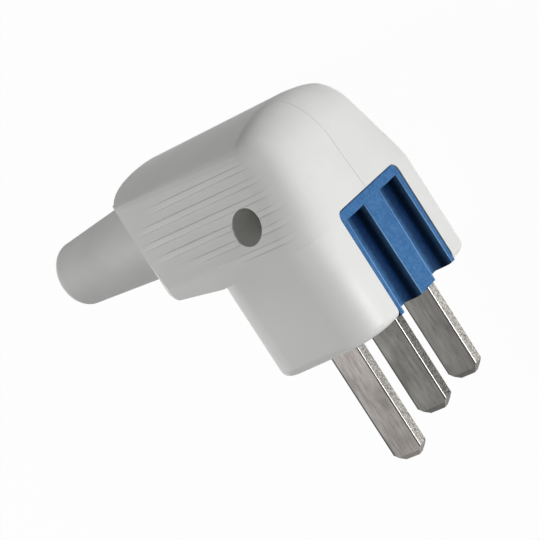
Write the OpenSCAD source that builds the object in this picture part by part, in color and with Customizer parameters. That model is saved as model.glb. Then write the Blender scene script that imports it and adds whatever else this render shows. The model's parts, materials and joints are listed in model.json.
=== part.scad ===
// Angled three-blade power plug with a two-half housing, lying on its far side.
// Working frame: front face at x = 0, contact face at y = 0, joint of the two halves at z = 0.
// The blades point to -y, the cable leaves to -x, and the near half is on +z.

/* [Housing] */
// Width across the two halves
body_w = 55; // [53:0.5:60]
// Height of the wide lower housing above the contact face
lower_h = 26; // [25:0.5:28]
// Depth of the lower housing, from the front face to the middle of its rear wall
lower_len = 40; // [40:0.5:43]
// Height of the back above the contact face, on the joint plane
back_h = 58; // [57:0.5:60]
// Reach of the arm, from the front face to the middle of its cable end
arm_len = 58; // [57:0.5:62]
// Wall thickness of both halves
wall = 2.4; // [2:0.1:2.8]
// Radius of the upright front edges
front_r = 10; // [9:0.5:11]
// Radius of the upright rear corners of the lower housing
rear_r = 8; // [7:0.5:9]
// Lean of the sides towards the back, in degrees
side_taper = 17; // [14:1:19]
// Lean of the front face above the lower housing, in degrees
front_lean = 4; // [2:1:6]
// Plan radius of the rounded cable end
end_r = 34; // [33:0.5:37]
// Rise of the arm's underside towards the cable end, in degrees
under_rise = 9; // [6:1:10]
// Radius of the edge round the contact face
base_r = 2; // [1:0.1:2.4]
// Radius of the arm's long edges at the cable end
edge_r = 1.6; // [0.8:0.1:2]
// Radius of the edge between the back and the cable end
back_r = 5; // [3:0.5:5.5]

/* [Grip] */
// Number of grip ribs above the screw well
ribs_above = 3; // [1:1:3]
// Number of grip ribs below the screw well
ribs_below = 2; // [0:1:2]
// Spacing of the grip ribs up the slope
rib_pitch = 3.85; // [3.4:0.05:3.9]
// Width of one grip rib
rib_w = 1.5; // [1:0.1:1.8]
// Height of the longest rib above the side
rib_h = 0.4; // [0.3:0.05:0.6]

/* [Contact block] */
// Width of the coloured block in the front face
block_w = 29.5; // [29:0.5:32]
// Height of the block's front face
block_h = 27.6; // [27:0.2:29]
// Width of the ridge between the two front channels, at the top
ridge_w = 9.8; // [9.2:0.1:10.4]
// Width of each front channel at the top
channel_w = 7; // [6.4:0.1:7.4]
// Depth of the front channels
channel_d = 4.8; // [3.5:0.1:5]

/* [Blades] */
// Width of every blade
blade_w = 9; // [8:0.1:9.4]
// Thickness of every blade
blade_t = 3.1; // [2.6:0.1:3.4]
// Distance of the two short blades from the joint plane
blade_z = 8.65; // [8.4:0.05:9]
// Length of the two short blades outside the housing
live_len = 25.8; // [20:0.2:30]
// Length of the earth blade outside the housing
earth_len = 37; // [30:0.2:42]

/* [Cable sleeve] */
// Radius of the sleeve where it meets the arm
sleeve_r = 11.2; // [10:0.1:11.6]
// Radius of the sleeve at its free end
sleeve_tip_r = 8.6; // [8:0.1:9.4]
// Radius of the cable bore through the sleeve
cable_r = 5.25; // [4.5:0.05:5.4]
// Length of the sleeve outside the arm
sleeve_len = 35; // [26:0.5:38]

/* [Screws] */
// Radius of the screw well in the near side
well_r = 4.3; // [4.1:0.05:4.8]
// Shank radius of the housing screw and of the terminal screws
bolt_r = 1.75; // [1.6:0.05:1.8]
// Shank radius of the cable clamp screws
tapping_r = 1.5; // [1.3:0.05:1.6]

/* [Hidden] */
$fn = 64;
hull_fn = 36;
fit = 0.15;
over = 1;
// Thickness of the plates that the outside is drawn over
skin = 0.01;
half_w = body_w / 2;

// Sides: upright up to bend_from, then bent inwards to the slope
bend_from = lower_h;
bend_r = 24;
bend_y = bend_from + bend_r * sin(side_taper);
bend_z = half_w - bend_r * (1 - cos(side_taper));
bend_len = bend_r * side_taper * PI / 180;
crown_r = 56;
front_drop = 1.6;
brow_drop = 4;
front_corner = 7;
round_step = 10;
base_step = 15;

// Rear wall of the lower housing: an arc tangent to both rear corners
bulge = 14.8;
corner_x = lower_len - bulge;
corner_z = half_w - rear_r;
bulge_r = (corner_z * corner_z + bulge * bulge - rear_r * rear_r) / (2 * (bulge - rear_r));
bulge_x = bulge_r - lower_len;
end_x = end_r - arm_len;
under_x = 30;

// Blade places: x is the front edge of each blade
live_x = -5.7;
earth_x = -26.7;
tip_len = 2.3;
tip_edge = 1.2;
tip_bevel = 0.7;
shoulder = 2;
slot_wall = 1.8;
base_h = 9;
root_h = 22;
post_h = 20;
terminal_y = 16.5;
block_face = -0.2;
block_back = live_x - blade_w - shoulder - slot_wall;
block_end = -37;
earth_half = 5;
flange_w = 2;
flange_t = 2.5;
channel_stop = 2.6;
channel_top = block_h - channel_stop;
channel_flare = 0.75;
lip_r = 1.2;
corner_r = 2.2;

// Housing screw, its nut and the cable clamp
well_x = -16;
well_y = 36;
rib_offset = 1.3;
rib_front = 5.2;
rib_turn = 2.5;
rib_crest = 23.5;
rib_tail = 1.6;
rib_fade = 1.4;
seat_z = 8;
bolt_head_r = 3.6;
bolt_head_h = 2.6;
nut_z = -14;
nut_af = 7;
nut_h = 3.2;
boss_r = 6.5;
boss_gap = 3;
cable_y = 41.2;
clamp_x = -40;
clamp_gap = 7.8;
clamp_z = 1;
clamp_t = 3.4;
clamp_w = 6;
clamp_relief = 1.2;
clamp_bite = 9;
clamp_head_r = 2.8;
clamp_head_h = 2;
post_r = 2.4;
neck_r = 7.4;
collar_gap = 3;
neck_len = wall + collar_gap;
end_sag = 4;
collar_r = 9.2;
collar_t = 2.6;
washer_t = 1.2;
washer_w = 8;
head_r = 3.4;
head_h = 2.4;
slot_w = 0.9;
slot_d = 1.2;

// The part stands on the floor with its box centred over the origin
sleeve_end = arm_len + sleeve_len;
shift = [sleeve_end / 2, (earth_len - back_h) / 2, half_w];

function lean_half(y) = bend_z - (y - bend_y) * tan(side_taper);
function under_y(x) = lower_h - (x + under_x) * tan(under_rise);

module along_x(from, to) {
    translate([from, 0, 0])
        rotate([90, 0, 90])
            linear_extrude(to - from)
                children();
}

module along_y(from, to) {
    translate([0, to, 0])
        rotate([90, 0, 0])
            linear_extrude(to - from)
                children();
}

module along_z(from, to) {
    translate([0, 0, from])
        linear_extrude(to - from)
            children();
}

// Plan of the lower housing, drawn inset by the given amount
module lower_plan(inset) {
    reach = 2;
    side = half_w - front_r;
    translate([-corner_x, inset - half_w])
        square([corner_x - front_r, 2 * (half_w - inset)]);
    translate([-front_r - over, -side])
        square([front_r + over - inset, 2 * side]);
    for (s = [-1, 1]) {
        translate([-front_r, s * side])
            circle(front_r - inset);
        translate([-corner_x, s * corner_z])
            circle(rear_r - inset);
    }
    intersection() {
        translate([bulge_x, 0])
            circle(bulge_r - inset, $fn = 128);
        polygon([
            [bulge_x, 0],
            [bulge_x - reach * (corner_x + bulge_x), reach * corner_z],
            [bulge_x - reach * (corner_x + bulge_x), -reach * corner_z]
        ]);
    }
}

// Plan of the arm: the cable end is an arc, everything ahead of its centre is kept
module end_plan(inset) {
    translate([end_x, 0])
        circle(end_r - inset, $fn = 128);
    translate([end_x, -body_w])
        square([body_w, 2 * body_w]);
}

// Outside of the cable end: a turned form with a rounded upper edge, left whole ahead of its axis
module end_form() {
    translate([end_x, 0, 0])
        rotate([-90, 0, 0])
            rotate_extrude($fn = 128) {
                square([end_r - back_r, back_h]);
                square([end_r, back_h - back_r]);
                translate([end_r - back_r, back_h - back_r])
                    circle(back_r);
            }
    translate([end_x, 0, -body_w])
        cube([body_w, back_h, 2 * body_w]);
}

// Section of the upper housing: x is the height, y the side
module upper_section(inset, drop) {
    side = inset / cos(side_taper);
    bend = [for (a = [0:side_taper / 6:side_taper])
        [bend_from + bend_r * sin(a), half_w - bend_r * (1 - cos(a)) - inset]];
    top = [back_h, lean_half(back_h) - side];
    right = concat([[0, half_w - inset]], bend, [top]);
    left = [for (i = [len(right) - 1:-1:0]) [right[i][0], -right[i][1]]];
    intersection() {
        translate([-drop, 0])
            polygon(concat(right, left));
        translate([back_h - drop - crown_r, 0])
            circle(crown_r - inset, $fn = 128);
    }
}

// Lower housing: the plan drawn up from the contact face, whose edge is rounded all the way round
module lower_form() {
    hull() {
        for (a = [0:base_step:90])
            along_y(base_r * (1 - sin(a)), base_r * (1 - sin(a)) + skin)
                lower_plan(base_r * (1 - cos(a)), $fn = hull_fn);
        along_y(lower_h - skin, lower_h)
            lower_plan(0, $fn = hull_fn);
    }
}

// Thin plate of the upper section above the lower housing, leaning back with the front
module upper_plate(x, inset, drop) {
    translate([x, lower_h, 0])
        rotate([0, 0, front_lean])
            translate([0, -lower_h, 0])
                along_x(-skin, 0)
                    intersection() {
                        translate([lower_h, -body_w])
                            square([body_w, 2 * body_w]);
                        offset(r = front_corner, $fn = hull_fn)
                            offset(delta = -front_corner)
                                upper_section(inset, drop);
                    }
}

// Upper housing and arm: rounded front, sides that bend inwards, and the arc of the cable end
module upper_form() {
    intersection() {
        hull() {
            for (t = [0:round_step:90])
                upper_plate(-front_r * (1 - sin(t)), front_r * (1 - cos(t)),
                    front_drop + brow_drop * (1 - cos(t)));
            translate([-under_x, lower_h, -half_w])
                cube([skin, skin, body_w]);
            along_x(-arm_len, skin - arm_len)
                offset(r = edge_r, $fn = hull_fn)
                    offset(delta = -edge_r)
                        intersection() {
                            upper_section(0, 0);
                            translate([under_y(-arm_len), -body_w])
                                square([back_h, 2 * body_w]);
                        }
        }
        end_form();
    }
}

module outer_form() {
    lower_form();
    upper_form();
}

// Hollow of both halves together
module hollow() {
    along_y(wall, bend_from)
        lower_plan(wall);
    intersection() {
        along_x(-arm_len, -front_r)
            upper_section(wall, front_drop);
        along_y(0, back_h)
            end_plan(wall);
        along_z(-body_w, body_w)
            polygon([
                [-front_r, bend_from - over],
                [-corner_x, bend_from - over],
                [-corner_x, under_y(-corner_x) + wall],
                [-arm_len, under_y(-arm_len) + wall],
                [-arm_len, back_h],
                [-front_r, back_h]
            ]);
    }
}

// Front window and contact face opening that the block sits in
module block_opening(gap) {
    along_x(block_back - gap, over)
        block_front_outline(gap);
    translate([block_end - gap, -over, -earth_half - gap])
        cube([over - block_end - 2 * wall, wall + 2 * over, 2 * (earth_half + gap)]);
}

// Front outline of the block with rounded upper corners: x is the height, y the side
module block_front_outline(gap) {
    w = block_w + 2 * gap;
    translate([-over, -w / 2])
        square([block_h + gap - corner_r + over, w]);
    translate([0, corner_r - w / 2])
        square([block_h + gap, w - 2 * corner_r]);
    for (s = [-1, 1])
        translate([block_h + gap - corner_r, s * (w / 2 - corner_r)])
            circle(corner_r);
}

// Lean of the side, in degrees, at a distance up it from the end of the bend
function lean_at(up) = side_taper * max(0, min(1, 1 + up / bend_len));

// Frame on the near side at that distance: z stands off the surface, y runs up it
module on_side(up) {
    lean = lean_at(up);
    rest = up - bend_len * (lean / side_taper - 1);
    fall = atan(front_drop * sin(lean) / (arm_len - front_r));
    translate([-arm_len, bend_from + bend_r * sin(lean), half_w - bend_r * (1 - cos(lean))])
        rotate([-lean, 0, 0])
            rotate([0, fall, 0])
                translate([arm_len, rest, 0])
                    children();
}

// Grip ribs: rims of large flat discs that rise out of the side behind the front edge
module grip_ribs() {
    disc_r = rib_crest * rib_crest / (2 * rib_h);
    for (k = [-ribs_below:ribs_above]) {
        crest = rib_crest - rib_fade * (k - 1) * (k - 1);
        rise = crest * crest / (2 * disc_r);
        on_side((well_y - bend_y) / cos(side_taper) + rib_offset + k * rib_pitch)
            translate([well_x + rib_front, 0, 0])
                rotate([0, 0, -rib_turn])
                    intersection() {
                        translate([-crest, 0, rise - disc_r])
                            rotate([90, 0, 0])
                                cylinder(r = disc_r, h = rib_w, center = true, $fn = 512);
                        translate([-rib_tail * crest, -rib_w, -wall / 2])
                            cube([rib_tail * crest, 2 * rib_w, wall]);
                    }
    }
}

// Boss of the housing screw, from a height over the joint plane up into the leaning wall
module screw_boss(from) {
    intersection() {
        translate([well_x, well_y, from])
            cylinder(r = boss_r, h = half_w);
        on_side(0)
            translate([-arm_len, -back_h, -body_w - wall / 2])
                cube([arm_len, 2 * back_h, body_w]);
    }
}

// One half of the shell on +z, with its grip ribs and the screw boss
module half_shell(boss_from) {
    difference() {
        union() {
            difference() {
                intersection() {
                    outer_form();
                    translate([-2 * arm_len, -over, 0])
                        cube([3 * arm_len, 2 * back_h, body_w]);
                }
                hollow();
            }
            intersection() {
                grip_ribs();
                along_y(0, back_h)
                    end_plan(edge_r);
            }
            screw_boss(boss_from);
        }
        block_opening(fit);
        translate([-arm_len - over, cable_y, 0])
            rotate([0, 90, 0])
                cylinder(r = neck_r, h = wall + over + end_sag);
    }
}

module near_half() {
    color("whitesmoke")
        difference() {
            half_shell(0);
            translate([well_x, well_y, seat_z])
                cylinder(r = well_r, h = body_w);
            translate([well_x, well_y, -over])
                cylinder(r = bolt_r + fit, h = body_w);
        }
}

// Post of the cable clamp, from inside the far wall up to the clamp
module clamp_post(y) {
    depth = lean_half(max(y + post_r, bend_y)) - wall / 2;
    translate([clamp_x, y, -depth])
        cylinder(r = post_r, h = depth + clamp_z);
}

// The far boss stops short of the near one, so that the screw closes the rims of the halves
module far_half() {
    color("whitesmoke")
        difference() {
            union() {
                mirror([0, 0, 1])
                    half_shell(boss_gap);
                for (s = [-1, 1])
                    clamp_post(cable_y + s * clamp_gap);
            }
            translate([well_x, well_y, -body_w])
                cylinder(r = nut_af / 2 / cos(30) + fit, h = body_w + nut_z, $fn = 6);
            translate([well_x, well_y, -body_w])
                cylinder(r = bolt_r + fit, h = 2 * body_w);
            for (s = [-1, 1])
                translate([clamp_x, cable_y + s * clamp_gap, clamp_z - clamp_bite - over])
                    cylinder(r = tapping_r, h = clamp_bite + 2 * over);
        }
}

// One channel of the block's front: two mirrored cuts that together flare towards the contact face
module front_channel(side) {
    middle = side * (ridge_w + channel_w) / 2;
    for (s = [-1, 1])
        translate([0, channel_top, middle])
            rotate([s * channel_flare, 0, 0])
                along_y(-2 * block_h, 0) {
                    translate([block_face - channel_d, -channel_w / 2])
                        square([channel_d + over, channel_w]);
                    difference() {
                        translate([block_face - lip_r, -channel_w / 2 - lip_r])
                            square([lip_r + over, channel_w + 2 * lip_r]);
                        for (e = [-1, 1])
                            translate([block_face - lip_r, e * (channel_w / 2 + lip_r)])
                                circle(lip_r);
                    }
                }
}

// Slot for a blade and the space for its shoulder above the base
module blade_slot(x, z, root, back) {
    translate([x - blade_w, -over, z - blade_t / 2])
        cube([blade_w, root + 2 * over, blade_t]);
    translate([x - blade_w - (back ? shoulder : 0), base_h, z - blade_t / 2])
        cube([blade_w + shoulder, root, blade_t]);
}

module contact_block() {
    inner_z = blade_z - blade_t / 2;
    outer_z = blade_z + blade_t / 2;
    color("steelblue")
        difference() {
            union() {
                intersection() {
                    along_x(block_back, block_face)
                        block_front_outline(0);
                    translate([-arm_len, 0, -body_w])
                        cube([arm_len, back_h, 2 * body_w]);
                }
                translate([block_back, wall, -block_w / 2 - flange_w])
                    cube([-block_back - wall - over, flange_t, block_w + 2 * flange_w]);
                translate([block_end, 0, -earth_half])
                    cube([over - block_end + block_back, base_h, 2 * earth_half]);
                translate([block_end, 0, -earth_half])
                    cube([over - block_end + block_back, post_h, earth_half - blade_t / 2]);
            }
            for (s = [-1, 1]) {
                front_channel(s);
                blade_slot(live_x, s * blade_z, root_h, true);
                translate([block_back - over, base_h, s > 0 ? outer_z : -body_w])
                    cube([over - block_back + live_x, block_h, body_w - outer_z]);
                translate([live_x - blade_w / 2, terminal_y, 0])
                    cylinder(r = bolt_r + fit, h = 2 * inner_z, center = true);
            }
            blade_slot(earth_x, 0, post_h, false);
            translate([earth_x - blade_w / 2, terminal_y, -earth_half - over])
                cylinder(r = bolt_r + fit, h = earth_half);
        }
}

// Flat blade on the joint plane with its front edge at x = 0 and both tip corners cut
module blade(length, root, back) {
    from = back ? -blade_w - shoulder : -blade_w;
    difference() {
        intersection() {
            along_z(-blade_t / 2, blade_t / 2)
                polygon([
                    [from + blade_w + shoulder, root],
                    [from + blade_w + shoulder, base_h],
                    [0, base_h],
                    [0, tip_len - length],
                    [-tip_len, -length],
                    [tip_len - blade_w, -length],
                    [-blade_w, tip_len - length],
                    [-blade_w, base_h],
                    [from, base_h],
                    [from, root]
                ]);
            along_x(-2 * blade_w, blade_w)
                polygon([
                    [root, blade_t / 2],
                    [tip_edge - length, blade_t / 2],
                    [-length, blade_t / 2 - tip_bevel],
                    [-length, tip_bevel - blade_t / 2],
                    [tip_edge - length, -blade_t / 2],
                    [root, -blade_t / 2]
                ]);
        }
        translate([-blade_w / 2, terminal_y, -blade_t])
            cylinder(r = bolt_r, h = 2 * blade_t);
    }
}

module blade_line() {
    color("darkgray")
        translate([live_x, 0, blade_z])
            blade(live_len, root_h, true);
}

module blade_neutral() {
    color("darkgray")
        translate([live_x, 0, -blade_z])
            blade(live_len, root_h, true);
}

module blade_earth() {
    color("darkgray")
        translate([earth_x, 0, 0])
            blade(earth_len, post_h, false);
}

// Screw with a slotted head that stands on z = 0, its shank going down
module slotted_screw(r, length, top_r, top_h) {
    difference() {
        union() {
            translate([0, 0, -length])
                cylinder(r = r, h = length + over / 2);
            cylinder(r = top_r, h = top_h);
        }
        translate([-top_r - over, -slot_w / 2, top_h - slot_d])
            cube([2 * (top_r + over), slot_w, slot_d + over]);
    }
}

// Square wire plate that lies on z = 0 below a terminal screw's head
module wire_plate() {
    difference() {
        translate([-washer_w / 2, -washer_w / 2, 0])
            cube([washer_w, washer_w, washer_t]);
        translate([0, 0, -over])
            cylinder(r = bolt_r + fit, h = washer_t + 2 * over);
    }
}

// Outer face of a terminal: side is 1 or -1 for the live blades and 0 for earth
module at_terminal(side) {
    x = (side == 0 ? earth_x : live_x) - blade_w / 2;
    translate([x, terminal_y, 0])
        mirror([0, 0, side < 0 ? 1 : 0])
            translate([0, 0, (side == 0 ? 0 : blade_z) + blade_t / 2])
                children();
}

module terminal_screw(side) {
    color("silver")
        at_terminal(side)
            translate([0, 0, washer_t])
                slotted_screw(bolt_r, blade_t + washer_t + over, head_r, head_h);
}

module terminal_plate(side) {
    color("silver")
        at_terminal(side)
            wire_plate();
}

module cable_clamp() {
    color("lightgray")
        translate([clamp_x, cable_y, clamp_z])
            difference() {
                linear_extrude(clamp_t)
                    union() {
                        square([clamp_w, 2 * clamp_gap], center = true);
                        for (s = [-1, 1])
                            translate([0, s * clamp_gap])
                                circle(clamp_w / 2);
                    }
                translate([0, 0, -cable_r])
                    rotate([0, 90, 0])
                        cylinder(r = cable_r + clamp_relief, h = 2 * clamp_w, center = true);
                for (s = [-1, 1])
                    translate([0, s * clamp_gap, -over])
                        cylinder(r = tapping_r + fit, h = clamp_t + 2 * over);
            }
}

module clamp_screw(side) {
    color("silver")
        translate([clamp_x, cable_y + side * clamp_gap, clamp_z + clamp_t])
            slotted_screw(tapping_r, clamp_t + clamp_bite, clamp_head_r, clamp_head_h);
}

module housing_screw() {
    color("silver")
        translate([well_x, well_y, seat_z])
            slotted_screw(bolt_r, seat_z - nut_z + nut_h + over, bolt_head_r, bolt_head_h);
}

module housing_nut() {
    color("silver")
        translate([well_x, well_y, nut_z - nut_h])
            difference() {
                cylinder(r = nut_af / 2 / cos(30), h = nut_h, $fn = 6);
                translate([0, 0, -over])
                    cylinder(r = bolt_r, h = nut_h + 2 * over);
            }
}

module cable_sleeve() {
    tip_round = 3;
    color("darkgray")
        translate([-arm_len, cable_y, 0])
            rotate([0, -90, 0])
                rotate_extrude()
                    difference() {
                        union() {
                            polygon([
                                [0, -neck_len - collar_t],
                                [collar_r, -neck_len - collar_t],
                                [collar_r, -neck_len],
                                [neck_r, -neck_len],
                                [neck_r, 0],
                                [sleeve_r, 0],
                                [sleeve_tip_r, sleeve_len - tip_round],
                                [sleeve_tip_r - tip_round, sleeve_len],
                                [0, sleeve_len]
                            ]);
                            translate([sleeve_tip_r - tip_round, sleeve_len - tip_round])
                                circle(tip_round);
                        }
                        translate([-cable_r, -sleeve_len])
                            square([2 * cable_r, 3 * sleeve_len]);
                    }
}

module placed() {
    translate(shift)
        children();
}

placed() near_half();
placed() far_half();
placed() contact_block();
placed() blade_line();
placed() blade_neutral();
placed() blade_earth();
placed() terminal_screw(1);  // terminal_screw_line
placed() terminal_screw(-1);  // terminal_screw_neutral
placed() terminal_screw(0);  // terminal_screw_earth
placed() terminal_plate(1);  // wire_plate_line
placed() terminal_plate(-1);  // wire_plate_neutral
placed() terminal_plate(0);  // wire_plate_earth
placed() cable_clamp();
placed() clamp_screw(1);  // clamp_screw_upper
placed() clamp_screw(-1);  // clamp_screw_lower
placed() housing_screw();
placed() housing_nut();
placed() cable_sleeve();
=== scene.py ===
import json
import math
import bmesh
import bpy
from mathutils import Matrix, Vector


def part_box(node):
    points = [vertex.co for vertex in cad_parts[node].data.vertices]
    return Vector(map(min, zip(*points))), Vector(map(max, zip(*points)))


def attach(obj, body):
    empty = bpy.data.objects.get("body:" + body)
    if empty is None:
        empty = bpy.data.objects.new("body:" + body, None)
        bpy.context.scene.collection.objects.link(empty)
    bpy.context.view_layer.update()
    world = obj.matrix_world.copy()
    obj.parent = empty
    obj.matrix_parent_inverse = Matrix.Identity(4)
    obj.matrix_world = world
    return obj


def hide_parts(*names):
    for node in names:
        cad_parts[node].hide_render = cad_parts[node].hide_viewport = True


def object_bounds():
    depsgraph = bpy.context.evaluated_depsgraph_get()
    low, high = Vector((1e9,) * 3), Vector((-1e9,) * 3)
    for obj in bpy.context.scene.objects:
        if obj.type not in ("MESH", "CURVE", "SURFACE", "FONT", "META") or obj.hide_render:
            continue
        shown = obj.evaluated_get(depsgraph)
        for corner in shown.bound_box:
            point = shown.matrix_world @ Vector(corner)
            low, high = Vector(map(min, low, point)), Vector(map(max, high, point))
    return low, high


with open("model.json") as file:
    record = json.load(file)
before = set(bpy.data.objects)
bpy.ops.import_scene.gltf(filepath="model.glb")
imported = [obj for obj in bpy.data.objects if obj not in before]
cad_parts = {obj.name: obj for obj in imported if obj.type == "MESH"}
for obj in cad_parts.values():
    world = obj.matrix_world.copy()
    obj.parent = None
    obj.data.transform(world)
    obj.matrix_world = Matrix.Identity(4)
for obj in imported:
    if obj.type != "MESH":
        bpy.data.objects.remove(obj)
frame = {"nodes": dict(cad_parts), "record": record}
cadLow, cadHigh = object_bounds()
nodes = frame["nodes"]
mm = 0.001

# Places that several sections use: the plane where the halves meet, and where the upper form starts
housingLow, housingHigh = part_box("near_half")
blockLow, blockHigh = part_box("contact_block")
jointZ = housingLow.z
ledgeY = housingLow.y + 26 * mm
print("frame loaded,", len(nodes), "nodes")


def middleOf(nodeName):
    low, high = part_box(nodeName)
    return (low + high) / 2


# Node tree helpers

# places among a node's sockets: a colour mix's two colours and its result, a shader mix's two shaders
mixFirst, mixSecond, mixResult = 6, 7, 2
shaderFirst, shaderSecond = 1, 2


def newMaterial(name):
    mat = bpy.data.materials.new(name)
    mat.use_nodes = True
    tree = mat.node_tree
    tree.nodes.clear()
    out = tree.nodes.new("ShaderNodeOutputMaterial")
    skin = tree.nodes.new("ShaderNodeBsdfPrincipled")
    tree.links.new(skin.outputs["BSDF"], out.inputs["Surface"])
    return mat, tree, skin


def addNode(tree, kind, **values):
    node = tree.nodes.new(kind)
    for key, value in values.items():
        if key in node.inputs:
            node.inputs[key].default_value = value
        else:
            setattr(node, key, value)
    return node


def feed(tree, socket, value):
    # a number or a colour is set, an output is linked
    if isinstance(value, tuple):
        socket.default_value = (*value, 1.0)
    elif isinstance(value, (int, float)):
        socket.default_value = value
    else:
        tree.links.new(value, socket)


def addNoise(tree, coords, scale, detail, rough):
    noise = addNode(tree, "ShaderNodeTexNoise", Scale=scale, Detail=detail, Roughness=rough)
    tree.links.new(coords, noise.inputs["Vector"])
    return noise.outputs["Fac"]


def addRange(tree, value, low, high, toLow=0.0, toHigh=1.0):
    ramp = tree.nodes.new("ShaderNodeMapRange")
    for key, number in (("From Min", low), ("From Max", high), ("To Min", toLow), ("To Max", toHigh)):
        ramp.inputs[key].default_value = number
    tree.links.new(value, ramp.inputs["Value"])
    return ramp.outputs["Result"]


def addGreys(tree, value, stops):
    ramp = tree.nodes.new("ShaderNodeValToRGB")
    elements = ramp.color_ramp.elements
    while len(elements) < len(stops):
        elements.new(position=0.5)
    for element, (at, grey) in zip(elements, stops):
        element.position = at
        element.color = (grey, grey, grey, 1.0)
    tree.links.new(value, ramp.inputs["Fac"])
    return ramp.outputs["Color"]


def addMath(tree, kind, a, b=0.0):
    node = addNode(tree, "ShaderNodeMath", operation=kind)
    feed(tree, node.inputs[0], a)
    feed(tree, node.inputs[1], b)
    return node.outputs["Value"]


def addProduct(tree, first, *others):
    for other in others:
        first = addMath(tree, "MULTIPLY", first, other)
    return first


def addDistance(tree, value, centre):
    return addMath(tree, "ABSOLUTE", addMath(tree, "SUBTRACT", value, centre))


def addBlend(tree, share, first, second):
    # number between two others: the first at share 0, the second at share 1
    firstPart = addMath(tree, "MULTIPLY", first, addMath(tree, "SUBTRACT", 1.0, share))
    return addMath(tree, "ADD", firstPart, addMath(tree, "MULTIPLY", second, share))


def addMix(tree, mask, first, second, blend="MIX"):
    mix = addNode(tree, "ShaderNodeMix", data_type="RGBA", blend_type=blend)
    feed(tree, mix.inputs["Factor"], mask)
    feed(tree, mix.inputs[mixFirst], first)
    feed(tree, mix.inputs[mixSecond], second)
    return mix.outputs[mixResult]


def addBump(tree, target, height, strength, depth):
    bump = addNode(tree, "ShaderNodeBump", Strength=strength, Distance=depth)
    tree.links.new(height, bump.inputs["Height"])
    tree.links.new(bump.outputs["Normal"], target.inputs["Normal"])
    return bump


def objectCoords(tree):
    return tree.nodes.new("ShaderNodeTexCoord").outputs["Object"]


def axisOf(tree, vector):
    split = tree.nodes.new("ShaderNodeSeparateXYZ")
    tree.links.new(vector, split.inputs["Vector"])
    return split.outputs


def facing(tree):
    return axisOf(tree, tree.nodes.new("ShaderNodeTexCoord").outputs["Normal"])


# Shared effects: moulded grain and speckle, each a group with its own inputs

# parts of the textures' ranges that make the whole change, and the cells' share of the speckle
mouldSpan = (0.3, 0.7)
speckleMix = {"cellShare": 0.45, "span": (0.25, 0.75)}


def newGroup(name, inputs, outputs):
    group = bpy.data.node_groups.new(name, "ShaderNodeTree")
    for label, kind in inputs:
        group.interface.new_socket(label, in_out="INPUT", socket_type=kind)
    for label, kind in outputs:
        group.interface.new_socket(label, in_out="OUTPUT", socket_type=kind)
    return group, group.nodes.new("NodeGroupInput").outputs, group.nodes.new("NodeGroupOutput").inputs


def grainGroup():
    # slow shade over the moulding and the fine erosion of the tool's surface
    group, given, made = newGroup(
        "mouldGrain",
        [("Vector", "NodeSocketVector"), ("Broad", "NodeSocketFloat"), ("Fine", "NodeSocketFloat")],
        [("Shade", "NodeSocketFloat"), ("Height", "NodeSocketFloat")],
    )
    broad = addNode(group, "ShaderNodeTexNoise", Detail=2.0, Roughness=0.5)
    fine = addNode(group, "ShaderNodeTexNoise", Detail=4.0, Roughness=0.6)
    for noise, scale in ((broad, "Broad"), (fine, "Fine")):
        group.links.new(given["Vector"], noise.inputs["Vector"])
        group.links.new(given[scale], noise.inputs["Scale"])
    group.links.new(addRange(group, broad.outputs["Fac"], *mouldSpan), made["Shade"])
    group.links.new(fine.outputs["Fac"], made["Height"])
    return group


def speckleGroup():
    # small light and dark grains, as in filled plastic or torn metal
    group, given, made = newGroup(
        "speckle",
        [("Vector", "NodeSocketVector"), ("Scale", "NodeSocketFloat")],
        [("Grains", "NodeSocketFloat")],
    )
    cells = addNode(group, "ShaderNodeTexVoronoi", Randomness=1.0)
    cloud = addNode(group, "ShaderNodeTexNoise", Detail=5.0, Roughness=0.7)
    for texture in (cells, cloud):
        group.links.new(given["Vector"], texture.inputs["Vector"])
        group.links.new(given["Scale"], texture.inputs["Scale"])
    grey = addNode(group, "ShaderNodeSeparateColor")
    group.links.new(cells.outputs["Color"], grey.inputs["Color"])
    both = addBlend(group, speckleMix["cellShare"], cloud.outputs["Fac"], grey.outputs["Red"])
    group.links.new(addRange(group, both, *speckleMix["span"]), made["Grains"])
    return group


def useGroup(tree, group, coords, **values):
    node = addNode(tree, "ShaderNodeGroup", node_tree=group)
    tree.links.new(coords, node.inputs["Vector"])
    for key, value in values.items():
        node.inputs[key].default_value = value
    return node.outputs


grain = grainGroup()
speckle = speckleGroup()


# Plastics and rubber

def gripLength(tree, place, number, grip):
    # from rib 0 up, each front end lies further back; the rear ends lie on a curve
    setBack = addMath(tree, "MULTIPLY", addMath(tree, "MAXIMUM", number, 0.0), grip["frontStep"])
    front = addMath(tree, "SUBTRACT", grip["front"], setBack)
    ahead = addRange(tree, addMath(tree, "SUBTRACT", front, place["X"]), 0.0, grip["frontFade"])
    spread = addMath(tree, "SUBTRACT", number, grip["rearRib"])
    rear = addMath(tree, "ADD", grip["rear"], addProduct(tree, spread, spread, grip["rearCurve"]))
    behind = addRange(tree, addMath(tree, "SUBTRACT", place["X"], rear), 0.0, grip["rearFade"])
    return addMath(tree, "MULTIPLY", ahead, behind)


def gripField(tree, place, count, grip):
    # only on the ribs, on the sides and outside the screw well
    lowest, highest = grip["ribs"]
    aboveLowest = addMath(tree, "GREATER_THAN", count, lowest)
    belowHighest = addMath(tree, "LESS_THAN", count, highest)
    onSide = addMath(tree, "GREATER_THAN", addDistance(tree, place["Z"], jointZ), grip["side"])
    gaps = [addMath(tree, "SUBTRACT", place[axis], at) for axis, at in zip("XY", grip["well"])]
    squares = [addMath(tree, "MULTIPLY", gap, gap) for gap in gaps]
    fromWell = addMath(tree, "SQRT", addMath(tree, "ADD", *squares))
    offWell = addMath(tree, "GREATER_THAN", fromWell, grip["wellR"])
    return addProduct(tree, aboveLowest, belowHighest, onSide, offWell)


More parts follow.
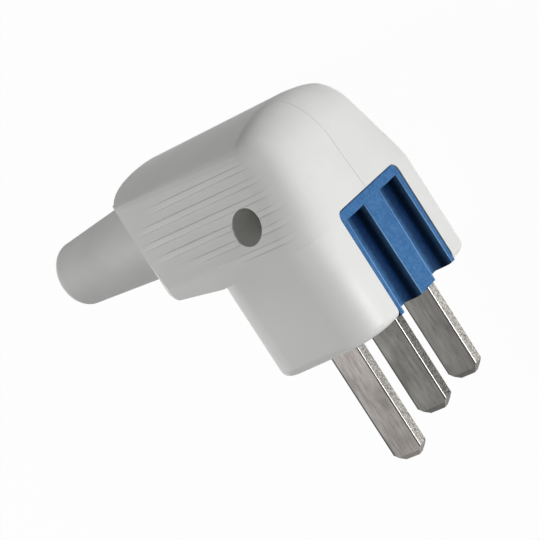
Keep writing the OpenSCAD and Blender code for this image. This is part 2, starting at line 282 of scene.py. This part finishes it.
def gripShadeAndLightMasks(tree, coords, grip):
    # painted shade lines along both edges of each grip rib, and a painted highlight on its crown, which fade
    # round the front edge; the same masks also make a small bump
    place = axisOf(tree, coords)
    perHeight = addMath(tree, "MULTIPLY", place["Y"], grip["perY"])
    perLength = addMath(tree, "MULTIPLY", place["X"], grip["perX"])
    count = addMath(tree, "ADD", addMath(tree, "ADD", perHeight, perLength), grip["first"])
    number = addMath(tree, "ROUND", count)
    off = addMath(tree, "SUBTRACT", count, number)
    low = addRange(tree, addDistance(tree, off, -grip["half"]), 0.0, grip["line"], 1.0, 0.0)
    high = addRange(tree, addDistance(tree, off, grip["half"]), 0.0, grip["line"], grip["upperLine"], 0.0)
    lines = addMath(tree, "MAXIMUM", low, high)
    crownEdge = grip["half"] * grip["crown"]
    crown = addRange(tree, addMath(tree, "ABSOLUTE", off), crownEdge, grip["half"], 1.0, 0.0)
    length = gripLength(tree, place, number, grip)
    reach = addMath(tree, "MULTIPLY", length, gripField(tree, place, count, grip))
    return addMath(tree, "MULTIPLY", lines, reach), addMath(tree, "MULTIPLY", crown, reach)


def paintGripShadeAndLight(tree, coords, colour, bump, grip):
    lines, crown = gripShadeAndLightMasks(tree, coords, grip)
    # the crowns are painted paler as painted highlight, the lines darker as painted shade
    colour = addMix(tree, addMath(tree, "MULTIPLY", crown, grip["paleShare"]), colour, grip["pale"])
    colour = addMix(tree, addMath(tree, "MULTIPLY", lines, grip["darkShare"]), colour, grip["dark"])
    addBump(tree, bump, addMath(tree, "SUBTRACT", crown, lines), grip["bump"], grip["depth"])
    return colour


def channelShade(tree, place, recess):
    # share of the colour that is left in the two front channels, all painted light and shade: painted
    # highlights on the lips, painted shade on the walls, less of it deep down
    first, last = recess["across"]
    turn = addRange(tree, facing(tree)["Z"], -1.0, 1.0)
    # painted highlight on the lips and painted shade on the walls, by how far the surface faces up
    lips = addMath(tree, "MULTIPLY", addGreys(tree, turn, recess["turns"]), recess["most"])
    # deep down, painted shade darkens the floor towards the wall that faces up
    fromWall = addMath(tree, "SUBTRACT", place["Z"], jointZ - last)
    step = addMath(tree, "FRACT", addMath(tree, "DIVIDE", fromWall, first + last))
    floor = addRange(tree, step, *recess["bed"], *recess["floor"])
    bottom = addBlend(tree, addRange(tree, turn, *recess["upright"]), floor, recess["wall"])
    level = addBlend(tree, addRange(tree, place["X"], *recess["deep"]), lips, bottom)
    # painted shade darkens the channels towards their top end
    towardsTop = addRange(tree, place["Y"], *recess["top"], 1.0, recess["topShare"])
    return addMath(tree, "MULTIPLY", level, towardsTop)


def channelField(tree, place, out, recess):
    # 1 in the channels, 0 outside them
    first, last = recess["across"]
    end, edge = recess["end"], recess["edge"]
    pastFirst = addRange(tree, out, first, first + edge)
    beforeLast = addRange(tree, out, last - edge, last, 1.0, 0.0)
    beforeEnd = addRange(tree, place["Y"], end, end + edge, 1.0, 0.0)
    return addProduct(tree, pastFirst, beforeLast, beforeEnd)


def rimShade(tree, place, out, recess):
    # darker rim along the block's own edges
    rimAside = addRange(tree, out, recess["rimZ"] - recess["rim"], recess["rimZ"])
    rimAbove = addRange(tree, place["Y"], recess["rimY"] - recess["rim"], recess["rimY"])
    rim = addMath(tree, "MAXIMUM", rimAside, rimAbove)
    return addRange(tree, rim, 0.0, 1.0, 1.0, recess["rimShare"])


def paintChannelShadeAndLight(tree, coords, colour, recess):
    place = axisOf(tree, coords)
    out = addDistance(tree, place["Z"], jointZ)
    field = channelField(tree, place, out, recess)
    level = addBlend(tree, field, 1.0, channelShade(tree, place, recess))
    level = addMath(tree, "MULTIPLY", level, rimShade(tree, place, out, recess))
    # levels up to 1 paint shade into the colour, those above it paint it paler as a highlight
    grey = tree.nodes.new("ShaderNodeCombineColor")
    darker = addMath(tree, "MINIMUM", level, 1.0)
    for channel in ("Red", "Green", "Blue"):
        tree.links.new(darker, grey.inputs[channel])
    stained = addMix(tree, 1.0, colour, grey.outputs["Color"], blend="MULTIPLY")
    paler = addRange(tree, level, 1.0, recess["most"], 0.0, recess["paleShare"])
    return addMix(tree, paler, stained, recess["pale"])


def plasticFinish(name, look):
    mat, tree, skin = newMaterial(name)
    skin.inputs["Specular IOR Level"].default_value = look["gloss"]
    coords = objectCoords(tree)
    mould = useGroup(tree, grain, coords, Broad=look["broad"], Fine=look["fine"])
    shade = mould["Shade"]
    if "speckle" in look:
        grains = useGroup(tree, speckle, coords, Scale=look["speckle"])["Grains"]
        shade = addBlend(tree, look["speckleShare"], shade, grains)
    colour = addMix(tree, shade, look["dark"], look["light"])
    rough = addRange(tree, mould["Height"], *mouldSpan, *look["rough"])
    if "duller" in look:
        # duller band where the lower form runs into the grip
        duller = look["duller"]
        away = addDistance(tree, axisOf(tree, coords)["Y"], duller["at"])
        rough = addMath(tree, "ADD", rough, addRange(tree, away, 0.0, duller["reach"], duller["most"], 0.0))
    tree.links.new(rough, skin.inputs["Roughness"])
    bump = addBump(tree, skin, mould["Height"], look["bump"], look["depth"])
    if "grip" in look:
        colour = paintGripShadeAndLight(tree, coords, colour, bump, look["grip"])
    if "recess" in look:
        colour = paintChannelShadeAndLight(tree, coords, colour, look["recess"])
    tree.links.new(colour, skin.inputs["Base Color"])
    return mat


# White housing, with painted shade lines and painted highlights along the grip ribs; a place's rib number is
# perY * y + perX * x + first, x and y in metres
wellMiddle = middleOf("housing_screw")
housingLook = {
    "dark": (0.76, 0.76, 0.742), "light": (0.80, 0.80, 0.785), "broad": 60.0, "fine": 2600.0,
    "rough": (0.44, 0.54), "gloss": 0.5, "bump": 0.06, "depth": 0.03 * mm,
    "duller": {"at": ledgeY, "reach": 14 * mm, "most": 0.16},
    "grip": {
        "perY": 271.6, "perX": 11.34, "first": -7.669, "ribs": (-2.5, 3.5),
        "half": 0.195, "crown": 0.7, "line": 0.075, "upperLine": 0.4,
        "front": housingHigh.x - 3.9 * mm, "frontStep": 1.5 * mm, "frontFade": 5 * mm,
        "rear": housingLow.x + 8.5 * mm, "rearRib": 1.3, "rearCurve": 2.4 * mm, "rearFade": 7 * mm,
        "side": 11 * mm, "well": (wellMiddle.x, wellMiddle.y), "wellR": 4.5 * mm,
        # dark is the painted shade on the rib lines, pale the painted highlight on the crowns
        "dark": (0.42, 0.42, 0.405), "darkShare": 0.5, "pale": (0.87, 0.87, 0.855), "paleShare": 0.4,
        "bump": 0.4, "depth": 0.12 * mm,
    },
}

# Blue block, with painted shade in its channels and painted highlights on their lips; turns pair how far the
# surface faces up, from 0 to 1, with a grey
blockLook = {
    "dark": (0.04, 0.132, 0.312), "light": (0.08, 0.212, 0.445), "broad": 300.0, "fine": 3200.0,
    "speckle": 1500.0, "speckleShare": 0.7,
    "rough": (0.55, 0.7), "gloss": 0.05, "bump": 0.12, "depth": 0.04 * mm,
    "recess": {
        "turns": [
            (0.0, 0.1), (0.24, 0.24), (0.34, 0.5), (0.4, 1.0), (0.47, 1.0), (0.49, 0.6),
            (0.5, 0.45), (0.51, 0.6), (0.53, 0.95), (0.6, 0.9), (0.66, 0.1), (1.0, 0.07),
        ],
        "most": 2.2, "pale": (0.26, 0.43, 0.66), "paleShare": 0.8,
        "deep": (blockHigh.x - 2.3 * mm, blockHigh.x - 5.3 * mm),
        "bed": (0.09, 0.19), "floor": (0.3, 1.1), "upright": (0.6, 0.8), "wall": 2.4,
        "top": (blockLow.y + 12.5 * mm, blockLow.y + 24.5 * mm), "topShare": 0.7,
        "across": (3.35 * mm, 13.45 * mm), "end": blockHigh.y - 2.5 * mm, "edge": 0.05 * mm,
        "rimZ": 14.75 * mm, "rimY": blockHigh.y, "rim": 0.35 * mm, "rimShare": 0.4,
    },
}

# Grey sleeve and cable clamp
sleeveLook = {
    "dark": (0.62, 0.62, 0.61), "light": (0.68, 0.68, 0.67), "broad": 90.0, "fine": 3000.0,
    "rough": (0.6, 0.75), "gloss": 0.5, "bump": 0.1, "depth": 0.04 * mm,
}
clampLook = {
    "dark": (0.58, 0.58, 0.56), "light": (0.64, 0.64, 0.62), "broad": 120.0, "fine": 2600.0,
    "rough": (0.4, 0.5), "gloss": 0.5, "bump": 0.06, "depth": 0.03 * mm,
}


# Metals

# the cloud's share beside the streaks, and the part of their range that makes the whole change
metalMix = {"cloudShare": 0.5, "span": (0.35, 0.65)}


def tornFinish(tree, coords, colour, rough, streak, torn):
    # narrow faces were sheared from the strip: grains of torn metal there
    sideways = addMath(tree, "ABSOLUTE", facing(tree)["X"])
    narrow = addRange(tree, sideways, *torn["narrow"])
    grains = useGroup(tree, speckle, coords, Scale=torn["scale"])["Grains"]
    colour = addMix(tree, narrow, colour, addMix(tree, grains, torn["dark"], torn["light"]))
    # painted dark reflection on the rounded edge, painted highlight beside it on the sheared face
    place = axisOf(tree, coords)
    along, out = (addDistance(tree, place[axis], at) for axis, at in zip("XZ", torn["middle"]))
    onBroad = addRange(tree, sideways, *torn["corner"], 1.0, 0.0)
    fold = addMath(tree, "MULTIPLY", addRange(tree, along, *torn["fold"]), onBroad)
    colour = addMix(tree, fold, colour, torn["darkReflection"])
    onNarrow = addRange(tree, sideways, *torn["corner"])
    shine = addMath(tree, "MULTIPLY", onNarrow, addRange(tree, out, *torn["shine"]))
    colour = addMix(tree, shine, colour, torn["paintedHighlight"])
    rough = addMath(tree, "ADD", rough, addMath(tree, "MULTIPLY", narrow, torn["rough"]))
    streakHeight = addMath(tree, "MULTIPLY", streak, torn["streakShare"])
    height = addMath(tree, "ADD", streakHeight, addMath(tree, "MULTIPLY", narrow, grains))
    return colour, rough, height


def metalFinish(name, look):
    mat, tree, skin = newMaterial(name)
    skin.inputs["Metallic"].default_value = 1.0
    coords = objectCoords(tree)
    stretch = addNode(tree, "ShaderNodeMapping", Scale=look["stretch"])
    tree.links.new(coords, stretch.inputs["Vector"])
    streak = addNoise(tree, stretch.outputs["Vector"], look["streak"], detail=4.0, rough=0.55)
    cloud = addNoise(tree, coords, look["cloud"], detail=3.0, rough=0.5)
    shade = addRange(tree, addBlend(tree, metalMix["cloudShare"], streak, cloud), *metalMix["span"])
    colour = addMix(tree, shade, look["dark"], look["light"])
    rough = addRange(tree, shade, 0.0, 1.0, *look["rough"])
    height = streak
    if "torn" in look:
        colour, rough, height = tornFinish(tree, coords, colour, rough, streak, look["torn"])
    tree.links.new(colour, skin.inputs["Base Color"])
    tree.links.new(rough, skin.inputs["Roughness"])
    addBump(tree, skin, height, look["bump"], look["depth"])
    return mat


# Blades: the same nickel on all three, painted darker on the two short ones as painted reflection, the
# middle one's sheared faces darker still as painted shade; narrow and corner say how far a face turns aside
bladeLook = {
    "dark": (0.155, 0.144, 0.136), "light": (0.224, 0.21, 0.2), "stretch": (1.0, 0.16, 1.0),
    "streak": 1500.0, "cloud": 110.0, "rough": (0.26, 0.38), "bump": 0.12, "depth": 0.05 * mm,
}
# the two short blades: the same nickel, painted darker as painted reflection
darkReflectionBladeLook = {**bladeLook, "dark": (0.09, 0.087, 0.082), "light": (0.139, 0.134, 0.127)}
tornLook = {
    "scale": 3400.0, "dark": (0.14, 0.13, 0.12), "light": (0.64, 0.62, 0.58), "rough": 0.2,
    "streakShare": 0.1, "narrow": (0.75, 0.9), "corner": (0.5, 0.65),
    # fold places the painted dark reflection, shine the painted highlight
    "fold": (3.95 * mm, 4.05 * mm), "darkReflection": (0.05, 0.048, 0.045),
    "shine": (1.36 * mm, 1.44 * mm), "paintedHighlight": (0.86, 0.85, 0.82),
}
# sheared faces of the middle blade: the same torn grains, painted darker as painted shade
shadedTornLook = {**tornLook, "dark": (0.025, 0.024, 0.022), "light": (0.26, 0.25, 0.235)}


def bladeFinish(name, look, torn, wire):
    # the terminal screw stands on the blade's middle line
    middle = (middleOf("terminal_screw_" + wire).x, middleOf("blade_" + wire).z)
    return metalFinish(name, {**look, "torn": {**torn, "middle": middle}})


# Steel of the screws, nut and wire plates
screwLook = {
    "dark": (0.50, 0.50, 0.48), "light": (0.66, 0.66, 0.64), "stretch": (1.0, 1.0, 1.0),
    "streak": 1500.0, "cloud": 300.0, "rough": (0.25, 0.4), "bump": 0.05, "depth": 0.05 * mm,
}

finishes = {
    "housing_white": plasticFinish("housingPlastic", housingLook),
    "block_blue": plasticFinish("blockPlastic", blockLook),
    "sleeve_grey": plasticFinish("sleeveRubber", sleeveLook),
    "clamp_grey": plasticFinish("clampPlastic", clampLook),
    "blade_nickel": bladeFinish("bladeNickel", bladeLook, tornLook, "earth"),
    "screw_steel": metalFinish("screwSteel", screwLook),
}
bladeFinishes = {
    "blade_line": bladeFinish("bladeNickelMiddle", darkReflectionBladeLook, shadedTornLook, "line"),
    "blade_neutral": bladeFinish("bladeNickelInner", darkReflectionBladeLook, tornLook, "neutral"),
}
slotOf = {sub["node"]: sub["material_slot"] for sub in frame["record"]["subparts"]}
for name, obj in nodes.items():
    obj.data.materials.clear()
    obj.data.materials.append(finishes[slotOf[name]])
print("finishes:", ", ".join(finishes))


# Housing shapes: edge detail on the merged copies of the two halves

# points nearer than this to a cutting plane count as on it
cutTouch = 1e-7


def armArc(z, arm):
    # place of the arm's curved end along x, at a height over the floor
    return arm["centre"] - math.sqrt(max(arm["radius"] ** 2 - (z - jointZ) ** 2, 0.0))


def atArmEnd(co, arm):
    return abs(co.x - armArc(co.z, arm)) < arm["near"]


def underside(x, arm):
    # place of the arm's rising underside along y
    return arm["lowest"] - (x - arm["tip"]) * math.tan(arm["rise"])


def cutAlongUnderside(bm, faces, arm, offset):
    # line of new edges on the faces, parallel to the underside and moved along y by the offset
    edges = dict.fromkeys(e for f in faces for e in f.edges)
    verts = dict.fromkeys(v for f in faces for v in f.verts)
    at = Vector((arm["tip"], arm["lowest"] + offset, 0.0))
    across = Vector((math.tan(arm["rise"]), 1.0, 0.0)).normalized()
    bmesh.ops.bisect_plane(bm, geom=[*faces, *edges, *verts], plane_co=at, plane_no=across, dist=cutTouch)


def roundArmEnd(bm, arm):
    # rounds the lower edge of the arm's curved end: lines on the end face, then each drawn on to the round
    size = arm["round"]
    for step in range(1, arm["steps"] + 1):
        end = [f for f in bm.faces if all(atArmEnd(v.co, arm) for v in f.verts)]
        cutAlongUnderside(bm, end, arm, size * step / arm["steps"])
    for vert in bm.verts:
        rise = vert.co.y - underside(vert.co.x, arm)
        if atArmEnd(vert.co, arm) and rise < size:
            turn = math.pi / 2 * max(rise, 0.0) / size
            inward = size * (1 - math.sin(turn))
            vert.co.x += inward
            vert.co.y += size * (1 - math.cos(turn)) - rise - inward * math.tan(arm["rise"])


def roundUnderArm(bm, arm, corner):
    # fills the corner between the arm's underside and the rear wall with a small round
    size = corner["round"]

    def onWall(face):
        middle = face.calc_center_median()
        rearward = face.normal.x < -corner["turned"] and abs(face.normal.y) < corner["turned"]
        return rearward and middle.x < corner["behind"] and middle.y < corner["top"]

    for step in range(1, corner["steps"] + 1):
        wall = [f for f in bm.faces if onWall(f)]
        cutAlongUnderside(bm, wall, arm, -size * step / corner["steps"])
    bm.normal_update()
    for vert in bm.verts:
        drop = underside(vert.co.x, arm) - vert.co.y
        wall = [f for f in vert.link_faces if onWall(f)]
        if wall and -corner["near"] < drop < size:
            away = sum((f.normal for f in wall), Vector()).normalized().x ** 2
            left = size - max(drop, 0.0)
            push = away * (size - math.sqrt(size ** 2 - left ** 2))
            vert.co.x -= push
            vert.co.y += push * math.tan(arm["rise"])


def fadeRibs(bm, ribs):
    # lets each grip rib run out at its ends: the small end faces are drawn down on to the wall
    def isRibEnd(face):
        middle = face.calc_center_median()
        small = abs(face.normal.x) >= ribs["turned"] and face.calc_area() <= ribs["area"]
        return small and abs(middle.z - jointZ) >= ribs["side"] and ribs["low"] < middle.y < ribs["high"]

    merge = {}
    for face in filter(isRibEnd, bm.faces):
        for edge in face.edges:
            outer, inner = sorted(edge.verts, key=lambda v: -abs(v.co.z - jointZ))
            length = edge.calc_length()
            if length < ribs["tall"] and abs(outer.co.z - inner.co.z) > ribs["steep"] * length:
                merge.setdefault(outer, inner)
    # each point goes to the foot of its chain
    feet = {}
    for outer, inner in merge.items():
        while inner in merge:
            inner = merge[inner]
        feet[outer] = inner
    bmesh.ops.weld_verts(bm, targetmap=feet)
    bmesh.ops.dissolve_degenerate(bm, dist=ribs["level"], edges=bm.edges[:])
    print("ribs:", len(feet), "end points drawn down")


def closeLedge(bm, ledge):
    # the upper form starts a little inside the lower one: draws the rim of the lower one in to meet it
    def isLedge(face):
        return face.normal.y > ledge["turned"]

    def isUpperWall(face):
        return face.normal.y < ledge["turned"] and face.calc_center_median().y > ledgeY + ledge["level"]

    atLedge = [v for v in bm.verts if abs(v.co.y - ledgeY) < ledge["level"]]
    rim = [v for v in atLedge if any(isLedge(f) for f in v.link_faces)]
    upper = [v for v in rim if any(isUpperWall(f) for f in v.link_faces)]
    lower = [v for v in rim if v not in upper]
    merge = {}
    for vert in lower:
        near = min(upper, key=lambda v: (v.co - vert.co).length)
        if (near.co - vert.co).length < ledge["reach"]:
            merge[vert] = near
    bmesh.ops.weld_verts(bm, targetmap=merge)
    bmesh.ops.dissolve_degenerate(bm, dist=ledge["level"], edges=bm.edges[:])
    print("ledge:", len(merge), "rim points drawn in")


def softLeast(first, second, reach):
    # the lesser of two numbers, rounded off where they are nearly equal
    soft = max(reach - abs(first - second), 0.0)
    return min(first, second) - soft * soft / reach / 4


def crispBack(bm, arm, crease):
    # draws the round between back and side out towards the corner, fading into the full round at the front
    stepY, stepZ = crease["step"]
    backSlope, sideSlope = crease["backSlope"], crease["sideSlope"]
    moved = 0
    for vert in bm.verts:
        x, y = vert.co.x / mm, vert.co.y / mm
        out = abs(vert.co.z - jointZ) / mm
        backY, backZ = (at + shift * (x - crease["from"]) for at, shift in crease["back"])
        sideY, sideZ = (at + shift * (x - crease["from"]) for at, shift in crease["side"])
        if out < backZ - crease["margin"] or y < sideY - crease["margin"]:
            continue
        toBack = (backY + backSlope * (out - backZ) - y) / (stepY - backSlope * stepZ)
        toSide = (sideZ + sideSlope * (y - sideY) - out) / (stepZ - sideSlope * stepY)
        # a way longer than the most counts back down, so points far inside stay
        move = softLeast(toBack, toSide, crease["soft"])
        move = min(move, max(2 * crease["most"] - move, 0.0))
        if move <= 0.0 or x >= crease["none"]:
            continue
        move *= min((crease["none"] - x) / (crease["none"] - crease["full"]), 1.0)
        onEnd = atArmEnd(vert.co, arm)
        side = 1 if vert.co.z > jointZ else -1
        vert.co += Vector((0.0, move * stepY, side * move * stepZ)) * mm
        if onEnd:
            vert.co.x = armArc(vert.co.z, arm)
        moved += 1
    print("back edge:", moved, "points drawn out")


def openJoint(bm, edge):
    # fine open joint between the halves
    side = 1 if sum(v.co.z - jointZ for v in bm.verts) > 0 else -1
    rim = [v for v in bm.verts if abs(v.co.z - jointZ) < edge["weld"]]
    bmesh.ops.translate(bm, verts=rim, vec=(0, 0, side * edge["gap"]))


def shapeHousing(bm, edge):
    closeLedge(bm, edge["ledge"])
    crispBack(bm, edge["arm"], edge["crease"])
    fadeRibs(bm, edge["ribs"])
    roundArmEnd(bm, edge["arm"])
    roundUnderArm(bm, edge["arm"], edge["corner"])
    openJoint(bm, edge)


# Visible pieces: merged copies of the CAD nodes with softened edges

def softCopy(nodeName, pieceName, edge):
    bm = bmesh.new()
    bm.from_mesh(nodes[nodeName].data)
    bmesh.ops.remove_doubles(bm, verts=bm.verts[:], dist=edge["weld"])
    flat = math.radians(edge["flat"])
    bmesh.ops.dissolve_limit(bm, angle_limit=flat, verts=bm.verts[:], edges=bm.edges[:])
    if "arm" in edge:
        shapeHousing(bm, edge)
    mesh = bpy.data.meshes.new(pieceName)
    bm.to_mesh(mesh)
    bm.free()
    mesh.shade_smooth()
    mesh.set_sharp_from_angle(angle=math.radians(edge["smooth"]))
    mesh.materials.append(bladeFinishes.get(nodeName, finishes[slotOf[nodeName]]))
    piece = bpy.data.objects.new(pieceName, mesh)
    bpy.context.scene.collection.objects.link(piece)
    bevel = piece.modifiers.new("softEdge", "BEVEL")
    bevel.limit_method = "ANGLE"
    bevel.angle_limit = math.radians(edge["sharp"])
    bevel.width = edge["width"]
    bevel.segments = edge["segments"]
    even = piece.modifiers.new("evenShade", "WEIGHTED_NORMAL")
    even.keep_sharp = True
    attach(piece, "root")
    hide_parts(nodeName)


# Each piece's flat, smooth and sharp are angles in degrees

# Housing halves; the crease's places are in millimetres, turned is a share of a face's normal along one axis
armRadius = 34 * mm
housingEdge = {
    "weld": 0.004 * mm, "flat": 0.3, "smooth": 26, "sharp": 40, "width": 0.12 * mm, "segments": 2,
    "gap": 0.04 * mm,
    "ledge": {"turned": 0.9, "level": 0.002 * mm, "reach": 0.75 * mm},
    "crease": {
        "from": 6.5, "back": ((43.89, -0.0193), (17.91, -0.051)), "side": ((41.43, -0.0945), (20.47, 0.018)),
        "backSlope": -0.33, "sideSlope": -0.305, "step": (0.75, 0.66), "margin": 0.3,
        "soft": 0.25, "most": 1.0, "full": 26.5, "none": 38.5,
    },
    "ribs": {
        "side": 14 * mm, "low": ledgeY + 0.5 * mm, "high": ledgeY + 24.5 * mm, "turned": 0.5,
        "area": 1.2 * mm * mm, "tall": 0.6 * mm, "steep": 0.6, "level": 0.002 * mm,
    },
    "arm": {
        "tip": housingLow.x, "radius": armRadius, "centre": housingLow.x + armRadius,
        "lowest": ledgeY + 4.4 * mm, "rise": math.radians(9),
        "round": 1.6 * mm, "steps": 5, "near": 0.06 * mm,
    },
    "corner": {
        "behind": housingLow.x + 24.5 * mm, "top": ledgeY + 1.5 * mm, "turned": 0.2,
        "round": 1.3 * mm, "steps": 4, "near": 0.02 * mm,
    },
}
for half in ("near", "far"):
    softCopy(half + "_half", "housing" + half.capitalize(), housingEdge)

# Contact block
blockEdge = {"weld": 0.004 * mm, "flat": 0.3, "smooth": 30, "sharp": 40, "width": 0.15 * mm, "segments": 2}
softCopy("contact_block", "contactBlock", blockEdge)

# Blades
bladeEdge = {"weld": 0.004 * mm, "flat": 0.3, "smooth": 30, "sharp": 20, "width": 0.28 * mm, "segments": 3}
for wire in ("line", "neutral", "earth"):
    softCopy("blade_" + wire, "blade" + wire.capitalize(), bladeEdge)

# Cable sleeve
sleeveEdge = {"weld": 0.004 * mm, "flat": 0.1, "smooth": 30, "sharp": 60, "width": 0.25 * mm, "segments": 3}
softCopy("cable_sleeve", "cableSleeve", sleeveEdge)
print("pieces: housing, block, blades, sleeve")


# Studio: pale floor, soft lamps, white background

studio = {
    "floorSize": 6.0, "floorGap": 0.2 * mm, "floorGrey": 0.85, "floorRough": 0.9, "floorWhite": 0.97,
    "worldLight": 0.075,
}
lamps = {
    "keyLamp": {"at": (0.92, -0.16, 0.09), "size": 0.18, "watts": 6.1},
    "fillLamp": {"at": (-0.74, 0.07, 0.72), "size": 0.4, "watts": 5.8},
}


def whiteToCamera(tree, shader, light, share):
    # plain light for the object, white where the camera, a reflection or glass looks at it
    path = tree.nodes.new("ShaderNodeLightPath")
    bounced = addMath(tree, "MAXIMUM", path.outputs["Is Glossy Ray"], path.outputs["Is Transmission Ray"])
    seen = addMath(tree, "MAXIMUM", path.outputs["Is Camera Ray"], bounced)
    mix = tree.nodes.new("ShaderNodeMixShader")
    tree.links.new(addMath(tree, "MULTIPLY", seen, share), mix.inputs["Fac"])
    tree.links.new(shader, mix.inputs[shaderFirst])
    tree.links.new(light, mix.inputs[shaderSecond])
    return mix.outputs["Shader"]


def makeFloor():
    bm = bmesh.new()
    bmesh.ops.create_grid(bm, x_segments=1, y_segments=1, size=studio["floorSize"] / 2)
    bmesh.ops.translate(bm, verts=bm.verts[:], vec=(0, 0, cadLow.z - studio["floorGap"]))
    mesh = bpy.data.meshes.new("studioFloor")
    bm.to_mesh(mesh)
    bm.free()
    mat, tree, skin = newMaterial("floorPaper")
    grey = studio["floorGrey"]
    feed(tree, skin.inputs["Base Color"], (grey, grey, grey))
    skin.inputs["Roughness"].default_value = studio["floorRough"]
    white = addNode(tree, "ShaderNodeEmission", Strength=1.0).outputs["Emission"]
    out = next(n for n in tree.nodes if n.type == "OUTPUT_MATERIAL")
    paper = whiteToCamera(tree, skin.outputs["BSDF"], white, studio["floorWhite"])
    tree.links.new(paper, out.inputs["Surface"])
    mesh.materials.append(mat)
    floor = bpy.data.objects.new("studioFloor", mesh)
    bpy.context.scene.collection.objects.link(floor)


def makeWorld():
    world = bpy.data.worlds.new("studioWorld")
    world.use_nodes = True
    tree = world.node_tree
    tree.nodes.clear()
    out = tree.nodes.new("ShaderNodeOutputWorld")
    soft = addNode(tree, "ShaderNodeBackground", Strength=studio["worldLight"])
    white = addNode(tree, "ShaderNodeBackground", Strength=1.0)
    for node in (soft, white):
        node.inputs["Color"].default_value = (1.0, 1.0, 1.0, 1.0)
    sky = whiteToCamera(tree, soft.outputs["Background"], white.outputs["Background"], 1.0)
    tree.links.new(sky, out.inputs["Surface"])
    bpy.context.scene.world = world


def makeLamp(name, spec, target):
    data = bpy.data.lights.new(name, "AREA")
    data.shape = "DISK"
    data.size = spec["size"]
    data.energy = spec["watts"]
    lamp = bpy.data.objects.new(name, data)
    lamp.location = spec["at"]
    lamp.rotation_euler = (target - lamp.location).to_track_quat("-Z", "Y").to_euler()
    bpy.context.scene.collection.objects.link(lamp)


makeFloor()
makeWorld()
for name, spec in lamps.items():
    makeLamp(name, spec, (cadLow + cadHigh) / 2)
print("studio:", len(lamps), "lamps")


# Camera at the photograph's place, in millimetres, with its own right, up and back directions
photoView = {
    "at": (346.33, 84.62, 434.87), "right": (0.6949, -0.5380, -0.4771), "up": (0.3433, 0.8312, -0.4373),
    "back": (0.6319, 0.1401, 0.7623), "lens": 146.67, "sensor": 36.0,
}


def makeCamera():
    data = bpy.data.cameras.new("photoCamera")
    data.sensor_fit = "HORIZONTAL"
    data.sensor_width = photoView["sensor"]
    data.lens = photoView["lens"]
    camera = bpy.data.objects.new("photoCamera", data)
    turn = Matrix((photoView["right"], photoView["up"], photoView["back"])).transposed()
    camera.matrix_world = Matrix.Translation(Vector(photoView["at"]) * mm) @ turn.to_4x4()
    bpy.context.scene.collection.objects.link(camera)
    bpy.context.scene.camera = camera


makeCamera()
bpy.context.scene.view_settings.view_transform = "Standard"
print("camera placed")
